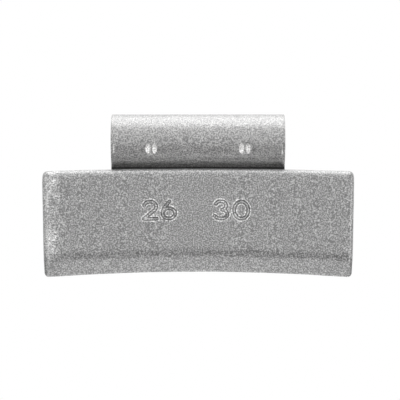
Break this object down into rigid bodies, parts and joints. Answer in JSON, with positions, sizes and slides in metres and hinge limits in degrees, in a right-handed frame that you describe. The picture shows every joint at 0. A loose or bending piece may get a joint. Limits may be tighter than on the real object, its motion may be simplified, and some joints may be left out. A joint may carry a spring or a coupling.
{
  "type": "wheel balance weight",
  "caption": "Clip-on steel balance weight that hooks over the flange of a car wheel's rim: a curved bar with a bevelled foot and a sprung arch clip.",
  "frame": {"origin": "centre of the clip's arch, in the middle of its width", "axes": "+X along the bar, to the right as seen from the front; -Y out of the stamped front face; +Z from the bar to the clip, away from the centre of the wheel"},
  "size_m": [0.05, 0.0118, 0.0263],
  "materials": {
    "coated_bar": "silver-grey metallic powder coat, finely speckled, satin",
    "coated_clip": "silver-grey metallic powder coat on rolled spring steel, satin"
  },
  "bodies": {
    "root": {"weight_body": "coated_bar", "rim_clip": "coated_clip"}
  },
  "joints": []
}
